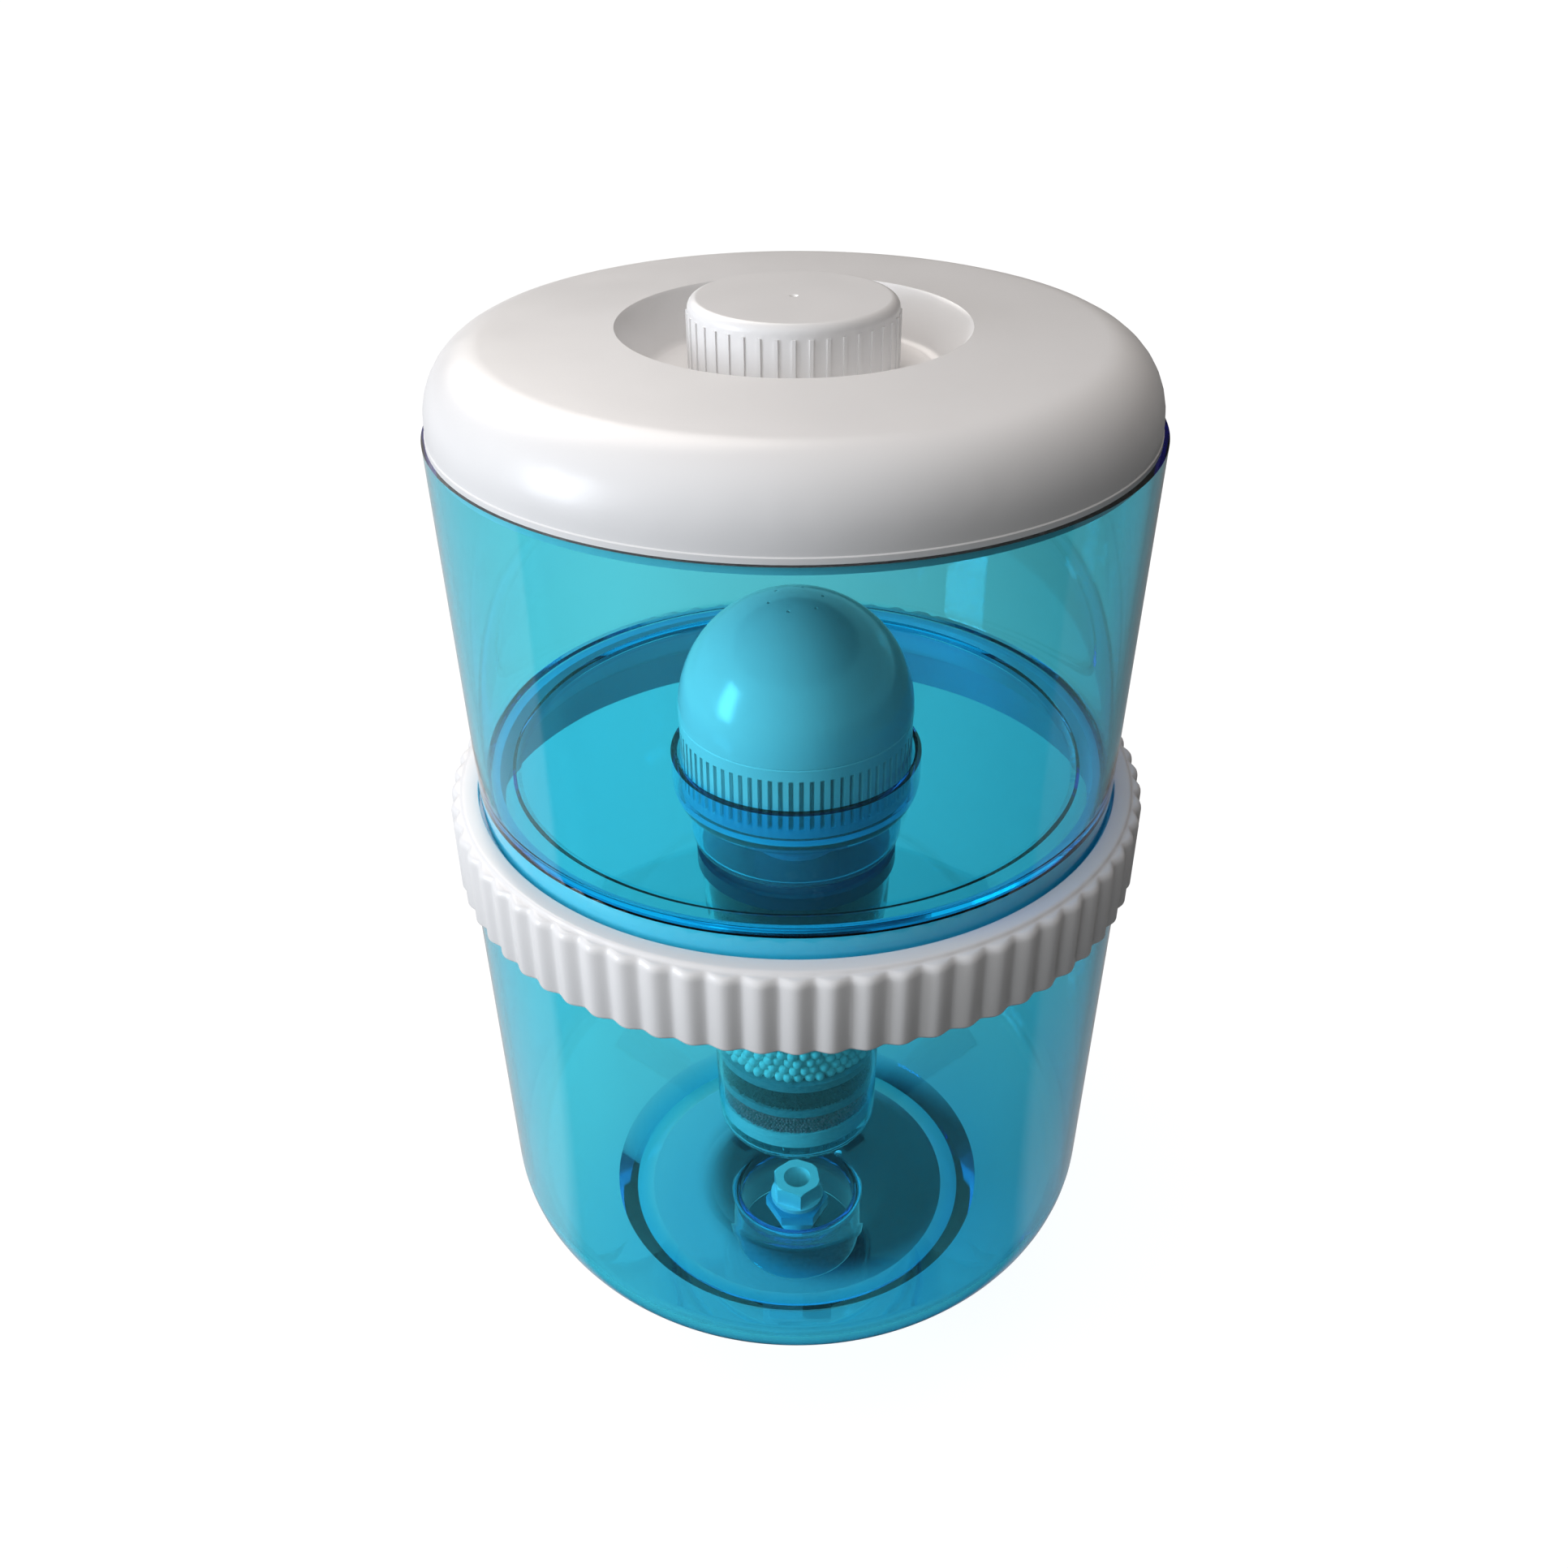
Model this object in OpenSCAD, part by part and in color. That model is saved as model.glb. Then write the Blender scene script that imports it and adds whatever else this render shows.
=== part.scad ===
// Gravity water purifier: an upper tank with a domed pre-filter and a layered
// cartridge stands on a lower tank whose neck drops into a water dispenser.
// Millimetres, +Z up, origin at the centre of the neck's lower end.

/* [Lower tank] */
// Outside diameter of the neck that enters the dispenser
neck_d = 55.6; // [50:0.1:60]
// Length of the neck below the tank floor
neck_length = 31; // [24:1:45]
// Rounding of the neck's mouth inside the tank
mouth_r = 5; // [3:0.5:6]
// Width of the funnel round that mouth
funnel_w = 12.1; // [8:0.1:16]
// Rise of the funnel up to the flat floor
funnel_rise = 4.1; // [2:0.1:6]
// Diameter of the flat floor inside the funnel and the shoulder
flat_d = 126; // [116:1:136]
// How far the solid foot ring reaches out under the shoulder
foot_w = 9; // [5:0.5:12]
// Slope of the foot ring's outer face, which centres in the dispenser's collar
foot_angle = 56; // [48:1:70]
// Slope of the shoulder that rests in the dispenser's collar
shoulder_angle = 33; // [25:1:40]
// How much the tank's radius grows from the rounded corner up to the rim
lower_draft = 2.4; // [0.5:0.1:5]
// Radius of the rounded bottom corner
corner_r = 30.5; // [24:0.5:36]
// Outside diameter of the rim that the clamp ring screws on
rim_d = 237.2; // [235:0.2:240]
// Height of the rim above the neck's lower end
rim_z = 246; // [220:1:260]
// Wall thickness of the lower tank
lower_wall = 2.9; // [2.4:0.1:3.4]

/* [Outlet fitting] */
// Bore that lets the water out
outlet_bore_d = 11.8; // [9:0.2:12.6]
// Outside diameter of the fitting's shank
shank_d = 16; // [15:0.2:18]
// Length of the shank below its washer
shank_length = 18; // [15:0.5:21]
// Hexagon head, across flats
hex_flats = 19; // [18.4:0.1:21]
// Height of the hexagon head
hex_h = 9; // [6:0.5:11]
// Turn of the hexagon about the axis
hex_turn = 8; // [0:1:59]
// Thickness of the floor that closes the neck
web_thickness = 2.8; // [2.2:0.1:3.4]
// Depth of that floor below the neck's mouth
web_depth = 9; // [7:0.5:11]
// Thickness of the washer under the head
washer_thickness = 2; // [1.5:0.1:2.5]
// Thickness of the lock nut under the neck floor
nut_h = 5; // [4:0.5:7]
// Hexagon of the lock nut, across flats
nut_flats = 24; // [22:0.5:27]

/* [Clamp ring] */
// Wall thickness of the clamp ring, lobes included
ring_wall = 3.7; // [3.2:0.1:5]
// Number of grip lobes
lobe_count = 70; // [50:1:84]
// Depth of the valleys between the lobes
lobe_depth = 1.6; // [0.8:0.1:1.8]
// Height of the clamp ring
ring_h = 30; // [26:0.5:31]
// Thickness of the lip that holds the upper tank down
ring_lip = 2.4; // [2:0.1:3]
// Gap between the ring's skirt and the rim it screws on
ring_gap = 0.4; // [0.3:0.05:0.5]
// Gap between the ring's hole and the upper tank's wall
ring_hole_gap = 0.9; // [0.6:0.1:1.4]
// Rounding of the ring's top outer edge
ring_edge_r = 2.4; // [1.5:0.1:3]
// Width of the groove in the ring's top face
ring_groove_w = 1.6; // [1.2:0.1:2]
// Depth of that groove
ring_groove_depth = 0.4; // [0.2:0.1:0.6]

/* [Upper tank] */
// How far the flange that the ring clamps stands out from the wall
flange_w = 6.2; // [5:0.1:8]
// How much the tank's radius grows from the flange up to the rim
upper_draft = 2.9; // [1:0.1:5]
// Height from the flange's top face to the rim
upper_h = 129.8; // [110:0.2:150]
// Wall thickness of the upper tank
upper_wall = 2.6; // [2.2:0.1:3]
// Height of the tank's outer floor above the flange's top face
floor_lift = 11; // [9:0.5:14]
// Width of the raised border round the upper floor
upper_step_w = 10.1; // [6:0.1:30]
// Drop of the middle of the floor
upper_step_h = 2; // [1:0.5:3]
// Thickness of the flange that the ring clamps
flange_thickness = 2.5; // [2:0.1:3.5]
// Thickness of the gasket between the tanks
gasket_thickness = 2.5; // [2:0.1:3.5]
// Depth of the gasket's lip inside the lower tank's rim
gasket_lip_h = 6; // [3:0.5:10]
// Width of the gasket's upstand under the upper tank's floor
gasket_upstand_w = 4; // [2.5:0.5:6]

/* [Filter well] */
// Outside diameter of the well at its mouth
well_d = 90; // [88:0.5:94]
// How much narrower the well's body is than its mouth, in radius
well_narrowing = 5.7; // [4.6:0.1:7]
// Depth of the ledge that carries the pre-filter
ledge_depth = 13.5; // [12:0.5:16]
// Depth of the well's inside floor
well_depth = 38.2; // [35:0.2:44]
// Wall thickness of the well
well_wall = 2.3; // [2:0.1:2.6]
// Radius of the well's bottom corner
well_corner_r = 6; // [4:0.5:8]

/* [Pre-filter] */
// Gap between the slotted base and the well's wall
base_gap = 1.2; // [0.5:0.1:2]
// How far the dome's foot stands out over the slotted base
dome_bead = 0.2; // [0:0.1:1]
// Depth of the small groove where the dome sits on the slotted base
seam_groove = 0.4; // [0.2:0.1:0.8]
// Height of the slotted base above the ledge
base_h = 28; // [26:0.5:34]
// Wall thickness of the dome and the base
filter_wall = 2; // [1.6:0.1:2.4]
// Number of intake slots
slot_count = 74; // [40:2:76]
// Width of an intake slot
slot_w = 1.6; // [1:0.1:1.8]
// Height of the slots' lower ends above the ledge
slot_lift = 3.5; // [3:0.5:6]
// Height left between the slots' upper ends and the dome's lip
slot_margin = 0.5; // [0:0.1:4]
// Vent holes near the top of the dome
vent_count = 6; // [3:1:10]
// Diameter of a vent hole
vent_d = 1.2; // [0.8:0.1:2]
// Diameter of the circle of vent holes
vent_circle_d = 19; // [12:1:28]
// Gap between the ceramic element and the dome
ceramic_gap = 6.2; // [4:0.1:10]
// Wall thickness of the ceramic element
ceramic_wall = 7; // [5:0.5:9]
// Outside diameter of the threaded stem
stem_d = 19.6; // [18:0.2:20.4]
// Bore of the stem
stem_bore_d = 13; // [10:0.5:14]
// Length of the stem below the well's floor
stem_length = 20; // [16:0.5:22]

/* [Cartridge] */
// Outside diameter of the cartridge at its top
cartridge_top_d = 71.4; // [70:0.2:73]
// Outside diameter of the cartridge at its bottom
cartridge_bottom_d = 65.2; // [63:0.2:67]
// Length of the cartridge's clear housing
housing_length = 135; // [130:1:144]
// Wall thickness of the housing
cartridge_wall = 2; // [1.6:0.1:2.4]
// Radius of the housing's bottom corner
cartridge_corner_r = 5; // [3:0.5:6]
// Height of the cap's rim over the housing
cap_rim_h = 4; // [3:0.5:6]
// Thickness of the clear divider discs
divider_thickness = 3.6; // [3:0.1:5]
// Height of the clear support grid at the bottom
support_h = 6.4; // [5:0.2:8]
// Height of the white polishing pad above it
pad_h = 7.6; // [6:0.2:12]
// Height of the mauve mineral sand bed
sand_h = 9.6; // [6:0.2:12]
// Height of the black silver-carbon bed
silver_h = 10.3; // [6:0.1:12]
// Height of the mineral ball bed
ball_bed_h = 24; // [16:0.5:28]
// Height of the fleece pad on top of the carbon
fleece_h = 4; // [2:0.5:6]

/* [Lid and fill cap] */
// How far the lid's edge stands back from the tank's outer wall
lid_inset = 1.8; // [0.5:0.1:2.4]
// Height of the lid above the tank's rim
lid_h = 28.2; // [26:0.2:34]
// Width of the lid's rounded shoulder
shoulder_w = 19; // [14:0.5:24]
// Height of the lid's straight edge below the rounded shoulder
lid_edge_h = 5.3; // [3:0.1:9]
// Fall of the lid's top from the recess to the shoulder
crown = 1.9; // [0:0.1:3]
// Diameter of the recess round the fill cap
recess_d = 106.8; // [96:0.2:116]
// Depth of the recess
recess_depth = 15; // [12:0.5:17]
// How far the loose lid sits to one side
lid_shift = -0.4; // [-1.2:0.1:1.2]
// Wall thickness of the lid
lid_wall = 2.6; // [2:0.1:3]
// Gap between the lid's plug skirt and the tank's wall
plug_gap = 1.6; // [1.5:0.1:2.2]
// Depth of the lid's plug skirt below the rim
plug_depth = 3.6; // [2.5:0.1:8]
// Outside diameter of the fill cap
cap_d = 64.4; // [60:0.2:70]
// Height of the fill cap's top above the lid
cap_rise = 7.8; // [5:0.2:12]
// Wall thickness of the fill cap
cap_wall = 2.6; // [2:0.1:3]
// Number of grip ribs on the fill cap
rib_count = 40; // [24:1:60]
// How far the grip ribs stand out
rib_depth = 0.5; // [0.3:0.1:0.8]
// Width of a grip rib
rib_w = 1.1; // [0.8:0.1:1.6]
// Wall thickness of the fill neck
fill_wall = 2.4; // [2:0.1:3]
// Gap between the fill neck and its cap
fill_gap = 0.5; // [0.35:0.05:0.6]
// Thickness of the fill cap's liner
liner_thickness = 1.8; // [1.2:0.1:2.4]

/* [Hidden] */
$fn = 180;

// Small shared values
edge = 1;           // small edge rounding or chamfer
seat = 0.3;         // gap between curved faces of pieces that move apart
overlap = 1;        // how far a cutter runs past the face it cuts

// Lower tank, from the neck up
neck_r = neck_d / 2;
neck_bore_r = neck_r - lower_wall;
floor_z = neck_length + lower_wall;
neck_fillet_r = 3;  // fillet between the neck and the floor, outside
funnel_r = neck_bore_r + mouth_r + funnel_w;
funnel_slope = atan(funnel_rise / funnel_w);
flat_r = flat_d / 2;
flat_z = floor_z + funnel_rise;
rim_r = rim_d / 2;
corner_centre_r = rim_r - lower_draft - corner_r;
shoulder_start_r = corner_centre_r + corner_r * sin(shoulder_angle);
shoulder_wall = lower_wall / cos(shoulder_angle);
function shoulder_out_z(r) = flat_z - shoulder_wall + (r - flat_r) * tan(shoulder_angle);
corner_z = shoulder_out_z(shoulder_start_r) + corner_r * cos(shoulder_angle);
foot_r = flat_r + foot_w;
// where the foot ring's outer face meets the shoulder
foot_top_r = (foot_r * tan(foot_angle) - flat_r * tan(shoulder_angle) + lower_wall - shoulder_wall)
    / (tan(foot_angle) - tan(shoulder_angle));
thread_zone = 24;   // height of the stretch that the ring screws on

// Outlet fitting in the neck floor
web_top = floor_z - web_depth;
web_bottom = web_top - web_thickness;
washer_r = hex_flats / 2 + washer_thickness;
hex_bottom = web_top + washer_thickness;
shank_hole_r = shank_d / 2 + seat;

// Joint between the tanks
flange_bottom = rim_z + gasket_thickness;
flange_top = flange_bottom + flange_thickness;
flange_r = rim_r - ring_gap;
base_r = flange_r - flange_w;
base_bore_r = base_r - upper_wall;
upstand_r = base_bore_r - seat;
upstand_bore_r = upstand_r - gasket_upstand_w;
gasket_lip_r = rim_r - lower_wall - seat;
gasket_lip_w = 2.2; // thickness of the gasket's lip inside the rim
ring_bore_r = rim_r + ring_gap;
ring_top = flange_top + ring_lip;
ring_bottom = ring_top - ring_h;
ring_r = ring_bore_r + ring_wall;
ring_hole_r = base_r + ring_hole_gap;
ring_fall = 2;      // how far the top face falls to its outer edge

// Upper tank
upper_rim_z = flange_top + upper_h;
upper_rim_r = base_r + upper_draft;
outer_floor_z = flange_top + floor_lift;
mid_floor_z = outer_floor_z - upper_step_h;
inner_base_r = base_r + upper_draft * floor_lift / upper_h - upper_wall;
upper_step_r = inner_base_r - upper_step_w;
floor_fillet = 3;   // fillet between the floor and the wall, inside

// Filter well
well_r = well_d / 2;
well_bore_r = well_r - well_wall;
well_body_r = well_r - well_narrowing;
ledge_z = mid_floor_z - ledge_depth;
ledge_w = 2.6;      // width of the ledge inside the well
well_flare_h = 10;  // height of the flare from the well's body to its mouth
well_neck_h = 8;    // height below the ledge at which the flare begins
well_draft = 0.6;   // how much narrower the well's body is at its bottom
well_floor_z = mid_floor_z - well_depth;
well_bottom_z = well_floor_z - well_wall;
stem_r = stem_d / 2;
stem_hole_r = stem_r + 2 * seat;

// Pre-filter
filter_base_r = well_bore_r - base_gap;
dome_r = filter_base_r + dome_bead;
seam_z = ledge_z + base_h;
dome_foot = 1.5;    // straight foot of the dome above the seam
dome_centre_z = seam_z + dome_foot;
base_floor = 2.4;   // thickness of the base's floor
base_floor_z = ledge_z + base_floor;
gasket_h = 2;       // thickness of the small flat gaskets
hub_w = 6;          // width of the seat round the stem
hub_r = stem_r + hub_w;
stem_gasket_top = well_floor_z + gasket_h;
stem_end_z = well_bottom_z - stem_length;
ceramic_r = dome_r - filter_wall - ceramic_gap;
ceramic_bottom = base_floor_z + gasket_h;
lip_h = 4;          // depth of the dome's lip inside the base
lip_w = 1.4;        // thickness of that lip
slot_h = base_h - lip_h - slot_lift - slot_margin;

// Cartridge
cap_top_z = well_bottom_z - gasket_h;
cap_plate = 3;      // thickness of the cartridge cap's plate
socket_r = stem_r + seat;
socket_wall = 3;    // wall of the socket for the stem
cap_rim_wall = 1.4; // wall of the cap's rim over the housing
cap_plate_z = cap_top_z - cap_plate;
housing_top_z = cap_plate_z;
housing_bottom_z = housing_top_z - housing_length;
cartridge_top_r = cartridge_top_d / 2;
cartridge_bottom_r = cartridge_bottom_d / 2;
bed_gap = 0.15;     // gap between a bed and the housing's wall
hole_rows = 3;      // rings of outlet holes in the housing's bottom
hole_pitch = 7;
hole_d = 2.2;
support_bottom = housing_bottom_z + cartridge_wall;
pad_bottom = support_bottom + support_h;
sand_bottom = pad_bottom + pad_h;
first_divider = sand_bottom + sand_h;
silver_bottom = first_divider + divider_thickness;
second_divider = silver_bottom + silver_h;
ball_bottom = second_divider + divider_thickness;
third_divider = ball_bottom + ball_bed_h;
carbon_bottom = third_divider + divider_thickness;
socket_bottom = stem_end_z - seat;
fleece_top = socket_bottom - edge;
fleece_bottom = fleece_top - fleece_h;

// Lid and fill cap
lid_r = upper_rim_r - lid_inset;
lid_top_z = upper_rim_z + lid_h;
shoulder_h = lid_h - crown - lid_edge_h;
lid_lip_h = 2;      // height of the small rim at the lid's foot
lid_lip = 0.35;     // how far that rim stands out
plug_wall = 2;      // wall thickness of the plug skirt
recess_r = recess_d / 2;
recess_slope = 6;   // how much narrower the recess is at its floor
recess_fillet_r = 3;
recess_floor_z = lid_top_z - recess_depth;
plug_r = upper_rim_r - upper_wall - plug_gap;
cap_r = cap_d / 2;
cap_top = lid_top_z + cap_rise;
cap_foot_gap = 1.6; // gap between the fill cap's foot and the recess's floor
cap_bottom = recess_floor_z + cap_foot_gap;
dimple_depth = 0.6; // depth of the dimple in the fill cap's top
cap_inner_top = cap_top - cap_wall - dimple_depth;
fill_top = cap_inner_top - liner_thickness;
fill_r = cap_r - cap_wall - fill_gap;
fill_bore_r = fill_r - fill_wall;
cap_edge_r = 3;     // rounding of the fill cap's top edge

// Colours
tank_blue = [0.16, 0.66, 0.84, 0.45];
dome_blue = [0.49, 0.85, 0.95];
white_plastic = [0.93, 0.93, 0.92];
silicone = [0.88, 0.90, 0.90];
clear_plastic = [0.75, 0.90, 0.93, 0.45];

// Points along a quarter or part of an ellipse, angles in degrees
function arc(centre, rx, ry, from, to, steps = 8) =
    [for (i = [0:steps])
        let (a = from + (to - from) * i / steps)
        [centre[0] + rx * cos(a), centre[1] + ry * sin(a)]];

// Inside radius of the cartridge at a height
function cartridge_r(z) =
    cartridge_bottom_r + (cartridge_top_r - cartridge_bottom_r)
    * (z - housing_bottom_z) / housing_length;
function bed_r(z) = cartridge_r(z) - cartridge_wall - bed_gap;

module revolve(points) {
    rotate_extrude() polygon(points);
}

module tube(outer_r, inner_r, from_z, to_z) {
    translate([0, 0, from_z])
        difference() {
            cylinder(r = outer_r, h = to_z - from_z);
            translate([0, 0, -overlap])
                cylinder(r = inner_r, h = to_z - from_z + 2 * overlap);
        }
}

module hexagon(flats, height) {
    cylinder(d = flats / cos(30), h = height, $fn = 6);
}

// A bed of granules: a plug that fills the tapered housing between two heights
module bed(from_z, to_z) {
    translate([0, 0, from_z])
        cylinder(r1 = bed_r(from_z), r2 = bed_r(to_z), h = to_z - from_z);
}

// Section of the lower tank: outside from the neck up, then inside back down
function lower_outside() = concat(
    [[neck_r - edge, 0], [neck_r, edge]],
    arc([neck_r + neck_fillet_r, neck_length - neck_fillet_r],
        neck_fillet_r, neck_fillet_r, 180, 90 + funnel_slope, 4),
    [[funnel_r, flat_z - lower_wall], [foot_r, flat_z - lower_wall],
     [foot_top_r, shoulder_out_z(foot_top_r)]],
    arc([corner_centre_r, corner_z], corner_r, corner_r, shoulder_angle - 90, 0, 10),
    [[rim_r, rim_z - thread_zone], [rim_r, rim_z]]);

function lower_inside() = concat(
    [[rim_r - lower_wall, rim_z], [rim_r - lower_wall, rim_z - thread_zone]],
    arc([corner_centre_r, corner_z], corner_r - lower_wall, corner_r - lower_wall,
        0, shoulder_angle - 90, 10),
    [[flat_r, flat_z], [funnel_r, flat_z]],
    arc([neck_bore_r + mouth_r, floor_z - mouth_r], mouth_r, mouth_r,
        90 + funnel_slope, 180, 5),
    [[neck_bore_r, edge], [neck_bore_r + edge / 2, 0]]);

module lower_tank() {
    color(tank_blue) {
        revolve(concat(lower_outside(), lower_inside()));
        // floor inside the neck that carries the outlet fitting
        tube(neck_bore_r + edge, shank_hole_r, web_bottom, web_top);
    }
}

module outlet_fitting() {
    color(dome_blue)
        difference() {
            union() {
                translate([0, 0, hex_bottom])
                    rotate(hex_turn + 30)
                        intersection() {
                            hexagon(hex_flats, hex_h);
                            cylinder(r1 = hex_flats, r2 = hex_flats / 2, h = hex_h + edge / 2);
                        }
                translate([0, 0, web_top - shank_length])
                    cylinder(d = shank_d, h = shank_length + washer_thickness + edge);
            }
            translate([0, 0, web_top - shank_length - overlap])
                cylinder(d = outlet_bore_d, h = shank_length + hex_h + 4 * overlap);
        }
}

module outlet_washer() {
    color(silicone)
        tube(washer_r, shank_hole_r, web_top, web_top + washer_thickness);
}

module outlet_nut() {
    color(white_plastic)
        translate([0, 0, web_bottom - nut_h])
            difference() {
                hexagon(nut_flats, nut_h);
                translate([0, 0, -overlap])
                    cylinder(d = shank_d, h = nut_h + 2 * overlap);
            }
}

// Gasket between the tanks: a lip centres it in the lower rim, and an upstand
// fills the corner under the upper tank's floor
module tank_gasket() {
    upstand_top = outer_floor_z - upper_wall - seat;
    color(silicone)
        revolve([
            [upstand_bore_r, rim_z], [gasket_lip_r - gasket_lip_w, rim_z],
            [gasket_lip_r - gasket_lip_w, rim_z - gasket_lip_h],
            [gasket_lip_r, rim_z - gasket_lip_h], [gasket_lip_r, rim_z],
            [flange_r, rim_z], [flange_r, flange_bottom], [upstand_r, flange_bottom],
            [upstand_r, upstand_top], [upstand_bore_r, upstand_top]]);
}

// Outline of the clamp ring: convex lobes that meet in sharp valleys
lobe_half = ring_r * sin(180 / lobe_count);
lobe_r = (pow(lobe_half, 2) + pow(lobe_depth, 2)) / (2 * lobe_depth);
lobe_angle = asin(lobe_half / lobe_r);
lobe_steps = 6;
function lobe_points() =
    [for (i = [0:lobe_count - 1])
        for (j = [0:lobe_steps - 1])
            let (turn = (i + 0.5) * 360 / lobe_count)
            let (a = lobe_angle * (2 * j / lobe_steps - 1))
            let (x = ring_r - lobe_r + lobe_r * cos(a))
            let (y = lobe_r * sin(a))
            [x * cos(turn) - y * sin(turn), x * sin(turn) + y * cos(turn)]];

module clamp_ring() {
    groove_r = (ring_hole_r + ring_r) / 2 - ring_groove_w / 2;
    color(white_plastic)
        intersection() {
            translate([0, 0, ring_bottom])
                linear_extrude(ring_h)
                    polygon(lobe_points());
            revolve(concat(
                [[ring_hole_r, flange_top], [ring_hole_r, ring_top - edge / 2],
                 [ring_hole_r + edge / 2, ring_top],
                 [groove_r - edge, ring_top - edge / 2],
                 [groove_r, ring_top - edge - ring_groove_depth],
                 [groove_r + ring_groove_w, ring_top - edge - ring_groove_depth],
                 [groove_r + ring_groove_w + edge, ring_top - edge]],
                arc([ring_r - ring_edge_r, ring_top - ring_fall - ring_edge_r],
                    ring_edge_r, ring_edge_r, 80, 0, 5),
                [[ring_r, ring_bottom + edge], [ring_r - edge, ring_bottom],
                 [ring_bore_r, ring_bottom], [ring_bore_r, flange_top]]));
        }
}

// Section of the upper tank with the filter well in its floor
function well_outside() = concat(
    [[stem_hole_r, well_bottom_z]],
    arc([well_body_r - well_corner_r - well_draft, well_bottom_z + well_corner_r],
        well_corner_r, well_corner_r, -90, -5, 6),
    arc([well_body_r, ledge_z - well_neck_h + well_flare_h],
        well_narrowing, well_flare_h, -90, 0, 6),
    [[well_r, mid_floor_z - upper_wall]]);

function well_inside() = concat(
    [[well_bore_r + edge, mid_floor_z], [well_bore_r, mid_floor_z - edge],
     [well_bore_r, ledge_z], [well_bore_r - ledge_w, ledge_z],
     [well_body_r - well_wall, ledge_z - well_neck_h + well_wall]],
    arc([well_body_r - well_corner_r - well_draft, well_bottom_z + well_corner_r],
        well_corner_r - well_wall, well_corner_r - well_wall, -5, -90, 6),
    [[stem_hole_r, well_floor_z]]);

module upper_tank() {
    color(tank_blue)
        revolve(concat(
            well_outside(),
            [[upper_step_r - edge, mid_floor_z - upper_wall],
             [upper_step_r + edge, outer_floor_z - upper_wall],
             [base_bore_r, outer_floor_z - upper_wall],
             [base_bore_r, flange_bottom], [flange_r, flange_bottom],
             [flange_r, flange_top], [base_r, flange_top],
             [upper_rim_r, upper_rim_z], [upper_rim_r - upper_wall, upper_rim_z]],
            arc([inner_base_r - floor_fillet, outer_floor_z + floor_fillet],
                floor_fillet, floor_fillet, 0, -90, 4),
            [[upper_step_r, outer_floor_z], [upper_step_r - 2 * edge, mid_floor_z]],
            well_inside()));
}

function lid_outside() = concat(
    [[recess_r + edge, lid_top_z], [lid_r - shoulder_w, lid_top_z - crown]],
    arc([lid_r - shoulder_w, lid_top_z - crown - shoulder_h],
        shoulder_w, shoulder_h, 80, 0, 8),
    [[lid_r, upper_rim_z + lid_lip_h],
     [lid_r + lid_lip, upper_rim_z + lid_lip_h - lid_lip],
     [lid_r + lid_lip, upper_rim_z], [plug_r, upper_rim_z],
     [plug_r, upper_rim_z - plug_depth]]);

function lid_inside() = concat(
    [[plug_r - plug_wall, upper_rim_z - plug_depth],
     [plug_r - plug_wall, upper_rim_z + lid_lip_h]],
    arc([lid_r - shoulder_w - lid_wall, lid_top_z - crown - shoulder_h],
        shoulder_w - edge, shoulder_h - lid_wall, 0, 80, 8),
    [[lid_r - shoulder_w - lid_wall, lid_top_z - crown - lid_wall],
     [recess_r + lid_wall, lid_top_z - lid_wall]]);

module lid() {
    color(white_plastic)
        translate([lid_shift, 0, 0])
            revolve(concat(
                lid_outside(), lid_inside(),
                [[recess_r - recess_slope + lid_wall, recess_floor_z - lid_wall],
                 [fill_bore_r, recess_floor_z - lid_wall],
                 [fill_bore_r, fill_top], [fill_r - edge / 2, fill_top],
                 [fill_r, fill_top - edge / 2], [fill_r, recess_floor_z]],
                arc([recess_r - recess_slope - recess_fillet_r, recess_floor_z + recess_fillet_r],
                    recess_fillet_r, recess_fillet_r, -90, -20, 4),
                [[recess_r, lid_top_z - edge]]));
}

module cap_liner() {
    color(silicone)
        translate([lid_shift, 0, 0])
            tube(fill_r, fill_bore_r - edge, fill_top, cap_inner_top);
}

module fill_cap() {
    color(white_plastic)
        translate([lid_shift, 0, 0])
            difference() {
                union() {
                    revolve(concat(
                        [[0, cap_top]],
                        arc([cap_r - cap_edge_r, cap_top - cap_edge_r],
                            cap_edge_r, cap_edge_r, 90, 0, 6),
                        [[cap_r, cap_bottom + edge], [cap_r - edge, cap_bottom],
                         [cap_r - cap_wall, cap_bottom],
                         [cap_r - cap_wall, cap_inner_top], [0, cap_inner_top]]));
                    for (i = [0:rib_count - 1])
                        rotate(i * 360 / rib_count)
                            translate([cap_r - cap_wall / 2, -rib_w / 2, cap_bottom + edge])
                                cube([cap_wall / 2 + rib_depth, rib_w,
                                      cap_top - cap_bottom - 2 * edge - cap_edge_r]);
                }
                // dimple left by the moulding gate
                translate([0, 0, cap_top - dimple_depth])
                    cylinder(r1 = dimple_depth, r2 = 3 * dimple_depth, h = 1.2 * dimple_depth);
            }
}

// Slotted base with its floor, hub and stem; the water enters through the slots
module filter_base() {
    color(dome_blue)
        difference() {
            revolve([
                [stem_bore_d / 2, stem_end_z], [stem_r - edge, stem_end_z],
                [stem_r, stem_end_z + edge], [stem_r, stem_gasket_top],
                [hub_r, stem_gasket_top], [hub_r, ledge_z],
                [filter_base_r, ledge_z], [filter_base_r, seam_z - seam_groove],
                [filter_base_r - seam_groove, seam_z],
                [filter_base_r - filter_wall, seam_z],
                [filter_base_r - filter_wall, base_floor_z],
                [stem_bore_d / 2, base_floor_z]]);
            for (i = [0:slot_count - 1])
                rotate(i * 360 / slot_count)
                    translate([filter_base_r - filter_wall - overlap, -slot_w / 2,
                               ledge_z + slot_lift])
                        cube([filter_wall + 2 * overlap, slot_w, slot_h]);
        }
}

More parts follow.
